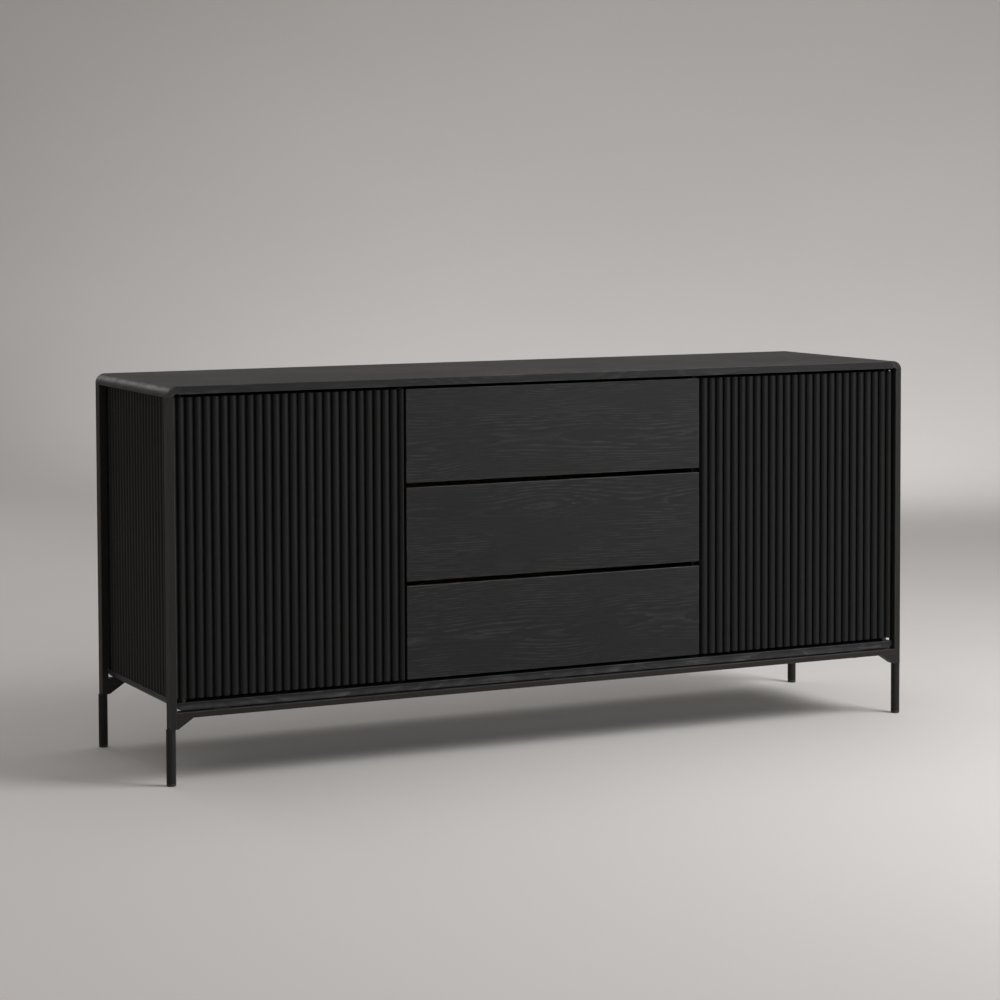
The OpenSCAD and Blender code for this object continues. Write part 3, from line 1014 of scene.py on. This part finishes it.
@dataclass
class BattenRow:
    """A row of upright half-round battens, the last one cut off where the row ends."""

    length: float
    whole: int
    share: float
    low: float
    high: float
    height: float = 8.0 * MM
    rise: float = 7.0 * MM
    groove: float = 1.8 * MM
    cut_r: float = 0.5 * MM
    arc_points: int = 19
    seed: int = 1

    def solid(self, matrix: np.ndarray, origin: np.ndarray) -> Solid:
        """The battens side by side, along the first axis and standing out along the second.

        One batten's outline is its two foot corners and an arc of radius R = (w^2 / 4 + rise^2) / (2 rise)
        about (centre, height - R). A point past the end of the row is drawn back to it, which cuts the last
        batten off square.

        Args:
            matrix: rows that give the world directions of along, out and up.
            origin: where the row starts.

        Returns:
            One solid of separate battens.
        """
        pitch = self.length / (self.whole + self.share)
        width = pitch - self.groove
        radius = (width * width / 4 + self.rise * self.rise) / (2 * self.rise)
        lean = math.asin((radius - self.rise) / radius)
        angle = np.linspace(lean, math.pi - lean, self.arc_points)
        along = np.concatenate([[width / 2], radius * np.cos(angle), [-width / 2]])
        out = np.concatenate([[0.0], self.height - radius + radius * np.sin(angle), [0.0]])
        normals = np.stack([np.cos(angle), np.sin(angle)], 1)
        normals = np.concatenate([[[1.0, 0.0]], normals, [[-1.0, 0.0]]])
        draw = np.random.default_rng(self.seed)
        battens = []
        for i in range(math.ceil(self.whole + self.share)):
            x = along + (i + 0.5) * pitch
            past = x > self.length
            points = np.stack([np.minimum(x, self.length), out], 1)
            facing = np.where(past[:, None], np.array([1.0, 0.0]), normals)
            outline = Outline(points, facing, np.zeros(len(x)))
            solid = carried(outline, Axis.Z, self.low, self.high, self.cut_r, 3).placed(matrix, origin)
            battens.append(solid.grained(Grain.UPRIGHT, int(draw.integers(1, 9999)), draw.uniform(0.2, 0.8)))
        return Solid.joined(battens)


# Each plain board: its name and its node's without the side, its path, its grain and the left one's seed.
PLAIN_BOARDS = (
    ("side_board", "side_panel", Axis.Z, Grain.UPRIGHT_END, 30),
    ("divider_board", "divider", Axis.Z, Grain.UPRIGHT_END, 32),
    ("shelf_board", "shelf", Axis.X, Grain.TOP, 34),
)
# The world directions of a row of battens: along it, out from it, and up.
DOOR_FACE = np.array([[1.0, 0, 0], [0, -1.0, 0], [0, 0, 1.0]])
END_FACE = {side: np.array([[0, 1.0, 0], [side.value, 0, 0], [0, 0, 1.0]]) for side in Side}


@dataclass
class Case:
    """The boards of the case, the battens on its ends, and the fittings inside it."""

    finishes: Finishes
    edge_r: float = 1.0 * MM
    hidden_r: float = 0.4 * MM
    end_r: float = 13.0 * MM
    lip: float = 1.5 * MM
    lip_inset: float = 0.5 * MM
    back_gap: float = 0.2 * MM
    batten_head: float = 5.0 * MM
    battens: int = 23

    def build(self) -> None:
        """Builds the boards and battens and dresses the fittings."""
        self.build_bottom()
        for side in Side:
            for name, start, axis, grain, seed in PLAIN_BOARDS:
                node = f"{start}_{side.word}"
                solid = bar(Box.of(node), axis, self.edge_r).grained(grain, seed + (side is Side.RIGHT))
                put(f"{name}_{side.word}", solid, self.finishes.oak, node)
            self.build_end_battens(side)
        self.build_back()
        dress(["post_studs", "case_bolts", "shelf_pins", "latch_plunger_left", "latch_plunger_right",
               "cabinet_rails"], self.finishes.zinc)
        dress(["pivot_bushes", "latch_housings"], self.finishes.nylon)
        dress(["spacer_pads"], self.finishes.rubber)

    def build_bottom(self) -> None:
        """The bottom board, rounded under at both ends."""
        box = Box.of("bottom_panel")
        corners = [(box.lo[0], box.lo[2]), (box.hi[0], box.lo[2]),
                   (box.hi[0], box.hi[2]), (box.lo[0], box.hi[2])]
        outline = Outline.rounded(corners, [self.end_r, self.end_r, self.edge_r, self.edge_r], 10)
        solid = carried(outline, Axis.Y, box.lo[1], box.hi[1], self.edge_r)
        put("bottom_board", solid.grained(Grain.TOP, 28), self.finishes.oak, "bottom_panel")

    def build_back(self) -> None:
        """The back board: it fills the case's back, and a thin wider lip covers the side boards' ends."""
        box = Box.of("back_panel")
        inner, outer = box.hi[0] - self.back_gap, Box.of("side_reeding_right").hi[0] - self.lip_inset
        low, high, rear = box.lo[2], box.hi[2], box.hi[1] + self.lip
        corners = [(-outer, box.hi[1]), (-inner, box.hi[1]), (-inner, box.lo[1]), (inner, box.lo[1]),
                   (inner, box.hi[1]), (outer, box.hi[1]), (outer, rear), (-outer, rear)]
        outline = Outline.rounded(corners, [self.hidden_r] * len(corners), 3)
        solid = carried(outline, Axis.Z, low + self.back_gap, high - self.back_gap, self.hidden_r)
        put("back_board", solid.grained(Grain.FRONT, 36), self.finishes.oak, "back_panel")

    def build_end_battens(self, side: Side) -> None:
        """The battens on one end of the case, standing out along X.

        Args:
            side: which end.
        """
        node = f"side_reeding_{side.word}"
        box = Box.of(node)
        row = BattenRow(box.size[1], self.battens, 0.0, box.lo[2], box.hi[2] + self.batten_head,
                        seed=40 + side.value)
        foot = box.hi[0] if side is Side.LEFT else box.lo[0]
        solid = row.solid(END_FACE[side], np.array([foot, box.lo[1], 0.0]))
        # the end battens take the darker reeding finish: painted shade on the shaded case ends
        put(f"end_battens_{side.word}", solid, self.finishes.reeding, node)


@dataclass
class Door:
    """A reeded door with its pivot pins and strike plate."""

    finishes: Finishes
    side: Side
    battens: int
    cut_share: float = 0.6
    edge_r: float = 0.8 * MM

    def build(self) -> None:
        """Builds the board and its battens and dresses the metal."""
        word = self.side.word
        body = f"door_{word}"
        panel = Box.of(f"door_panel_{word}")
        solid = bar(panel, Axis.Z, self.edge_r)
        solid.grained(Grain.UPRIGHT, 50 + self.side.value)
        put(f"door_board_{word}", solid, self.finishes.oak, f"door_panel_{word}", body)
        box = Box.of(f"door_reeding_{word}")
        row = BattenRow(panel.size[0], self.battens, self.cut_share, box.lo[2], box.hi[2],
                        seed=60 + self.side.value)
        solid = row.solid(DOOR_FACE, np.array([panel.lo[0], panel.lo[1], 0.0]))
        put(f"door_battens_{word}", solid, self.finishes.reeding, f"door_reeding_{word}", body)
        # near-black: painted shade on the pivot pins in the gap under the door
        dress([f"door_pivots_{word}"], self.finishes.shade_black)
        dress([f"strike_plate_{word}"], self.finishes.zinc)


@dataclass
class Drawer:
    """A drawer: a front with a hooked upper edge on a plywood box."""

    finishes: Finishes
    level: Level
    seed: int
    # painted light: how much lighter this front is made, the top drawer most
    tone: float = EVEN_TONE
    edge_r: float = 1.6 * MM
    ply_r: float = 0.6 * MM
    hook_depth: float = 10.0 * MM
    hook_drop: float = 12.0 * MM

    def build(self) -> None:
        """Builds the front and the box and dresses the runners."""
        word = self.level.value
        body = f"drawer_{word}"
        face = self.front(Box.of(f"drawer_front_{word}"))
        put(f"drawer_face_{word}", face, self.finishes.oak, f"drawer_front_{word}", body)
        self.build_box(body)
        dress([f"drawer_rails_{word}", f"mid_rails_{word}"], self.finishes.zinc)

    def front(self, box: Box) -> Solid:
        """The front, its upper rear edge sloping away for the fingertips.

        Args:
            box: the front's box.

        Returns:
            The front, its outline in Y and Z carried along the width.
        """
        corners = [
            (box.lo[1], box.lo[2]), (box.hi[1], box.lo[2]), (box.hi[1], box.hi[2] - self.hook_drop),
            (box.hi[1] - self.hook_depth, box.hi[2]), (box.lo[1], box.hi[2]),
        ]
        outline = Outline.rounded(corners, [self.edge_r] * len(corners))
        solid = carried(outline, Axis.X, box.lo[0], box.hi[0], self.edge_r)
        return solid.grained(Grain.FRONT, self.seed, self.tone)

    def build_box(self, body: str) -> None:
        """Two sides, an inner front and a back, and a base, of plywood.

        Args:
            body: the CAD body that the drawer rides on.
        """
        word = self.level.value
        sides, ends, base = (Box.of(f"drawer_{part}_{word}") for part in ("sides", "ends", "base"))
        side = bar(Box(np.array([base.hi[0], sides.lo[1], sides.lo[2]]), sides.hi), Axis.Y, self.ply_r)
        side.grained(Grain.BOX_SIDE, self.seed + 1)
        near = bar(Box(ends.lo, np.array([ends.hi[0], base.lo[1], ends.hi[2]])), Axis.X, self.ply_r)
        far = bar(Box(np.array([ends.lo[0], base.hi[1], ends.lo[2]]), ends.hi), Axis.X, self.ply_r)
        near.grained(Grain.FRONT, self.seed + 2)
        far.grained(Grain.FRONT, self.seed + 3)
        bottom = bar(base, Axis.X, self.ply_r).grained(Grain.TOP, self.seed + 4)
        parts = {"sides": [side, side.mirrored()], "ends": [near, far], "base": [bottom]}
        for part, solids in parts.items():
            put(f"drawer_box_{part}_{word}", Solid.joined(solids), self.finishes.birch,
                f"drawer_{part}_{word}", body)


# ---- Studio ----


@dataclass(frozen=True)
class Lamp:
    """A soft light, unseen by the camera: a rectangle where it has sides, in metres, and else a spotlight."""

    name: str
    place: tuple[float, float, float]
    aim: tuple[float, float, float]
    power: float
    sides: tuple[float, float] | None = None
    spot_angle: float = math.radians(80)
    spot_radius: float = 0.5

    def hang(self) -> None:
        """Makes the light and turns it to what it faces."""
        lamp = bpy.data.lights.new(self.name, "AREA" if self.sides else "SPOT")
        if self.sides:
            lamp.shape = "RECTANGLE"
            lamp.size, lamp.size_y = self.sides
        else:
            lamp.spot_size, lamp.spot_blend, lamp.shadow_soft_size = self.spot_angle, 1.0, self.spot_radius
        lamp.energy = self.power
        holder = in_scene(self.name, lamp)
        holder.location = self.place
        holder.rotation_euler = (Vector(self.aim) - Vector(self.place)).to_track_quat("-Z", "Y").to_euler()
        holder.visible_camera = False


LAMPS = (
    Lamp("key", (2.1, -2.0, 2.7), (0.0, 0.0, 0.4), 82.0, (1.8, 1.8)),
    Lamp("overhead", (0.3, 1.2, 4.2), (0.0, 0.3, 0.0), 20.0, (4.0, 2.5)),
    Lamp("fill", (3.6, -5.2, 2.0), (0.2, 0.0, 0.3), 70.0, (2.4, 0.9)),
    Lamp("rear", (-1.8, 5.6, 2.6), (0.0, 0.0, 0.4), 20.0, (2.0, 1.2)),
    Lamp("backdrop", (1.5, 1.8, 4.6), (5.3, 7.9, 0.0), 1000.0),
)


@dataclass
class Floor:
    """A round pale floor that sweeps up into a wall."""

    flat: float = 5.5
    sweep: float = 10.0
    wall: float = 1.0
    hole: float = 0.02
    flat_rings: int = 40
    sweep_rings: int = 24
    around: int = 128
    colour: Colour = (0.745, 0.722, 0.705)
    roughness: float = 0.75
    sheen: float = 0.2

    def build(self) -> None:
        """The surface (r cos t, r sin t, z), where r and z follow a straight line, a quarter circle and a
        straight line, with a flat cap over the hole in the middle."""
        turn = np.linspace(0, np.pi / 2, self.sweep_rings)[1:]
        level = np.linspace(self.hole, self.flat, self.flat_rings)
        r = np.concatenate([level, self.flat + self.sweep * np.sin(turn), [self.flat + self.sweep]])
        z = np.concatenate([0 * level, self.sweep * (1 - np.cos(turn)), [self.sweep + self.wall]])
        t = np.arange(self.around) * 2 * np.pi / self.around
        x, y = r[:, None] * np.cos(t), r[:, None] * np.sin(t)
        points = np.stack([x, y, np.broadcast_to(z[:, None], x.shape)], -1).reshape(-1, 3)
        quads = strip_quads(len(r), self.around)[:, ::-1]
        mesh = smooth_mesh("floor", points, quads.tolist() + [list(range(self.around))])
        mesh.materials.append(self.paint())
        in_scene("floor", mesh)

    def paint(self) -> bpy.types.Material:
        """Matt paint whose colour drifts a little over the floor.

        Returns:
            The material.
        """
        material, g, shader = new_material("studio floor")
        shade = g.spread(g.noise(g.place(), 0.6, 3.0), 0.985, 1.015)
        g.fill(shader, {"Base Color": g.tinted(self.colour, shade), "Roughness": self.roughness,
                        "Specular IOR Level": self.sheen})
        return material


@dataclass
class View:
    """A long lens at the front left, a little above the top."""

    lens: float = 99.0
    sensor: float = 36.0
    shift: float = -0.15
    clip_end: float = 60.0
    heading: float = math.radians(25.89)
    pitch: float = math.radians(3.20)
    roll: float = math.radians(-0.21)
    place: tuple[float, float, float] = (-2.725, -5.565, 1.210)

    def build(self) -> None:
        """Makes the camera: it faces (sin h cos p, cos h cos p, -sin p), then rolls about that line."""
        data = bpy.data.cameras.new("camera")
        data.sensor_width, data.lens = self.sensor, self.lens
        data.shift_y, data.clip_end = self.shift, self.clip_end
        level = math.cos(self.pitch)
        forward = Vector((math.sin(self.heading) * level, math.cos(self.heading) * level,
                          -math.sin(self.pitch)))
        turn = forward.to_track_quat("-Z", "Y").to_matrix() @ Matrix.Rotation(self.roll, 3, "Z")
        camera = in_scene("camera", data)
        camera.rotation_euler = turn.to_euler()
        camera.location = self.place
        bpy.context.scene.camera = camera


@dataclass
class Studio:
    """A pale bowl of a floor, soft lights and the camera."""

    air: tuple[float, float, float, float] = (1.0, 0.98, 0.96, 1.0)
    air_strength: float = 0.33

    def build(self) -> None:
        """Builds the floor, hangs the lights, fills the surroundings evenly and sets up the camera."""
        Floor().build()
        for lamp in LAMPS:
            lamp.hang()
        world = bpy.data.worlds.new("surround")
        world.use_nodes = True
        background = world.node_tree.nodes["Background"]
        background.inputs["Color"].default_value = self.air
        background.inputs["Strength"].default_value = self.air_strength
        bpy.context.scene.world = world
        bpy.context.scene.view_settings.view_transform = "Standard"
        View().build()


def main() -> None:
    """Builds every sub-assembly, then the studio."""
    logging.basicConfig(level=logging.INFO, format="%(message)s")
    finishes = Finishes()
    Top(finishes).build()
    SteelFrame(finishes).build()
    Case(finishes).build()
    Door(finishes, Side.LEFT, battens=26).build()
    Door(finishes, Side.RIGHT, battens=25).build()
    # the drawers' tones fall from top to bottom: painted light, with the upper drawer lighter as light falls
    # from above
    for seed, tone, level in zip((70, 80, 90), (0.9, 0.55, 0.5), Level):
        Drawer(finishes, level, seed, tone).build()
    Studio().build()


if __name__ == "__main__":
    main()
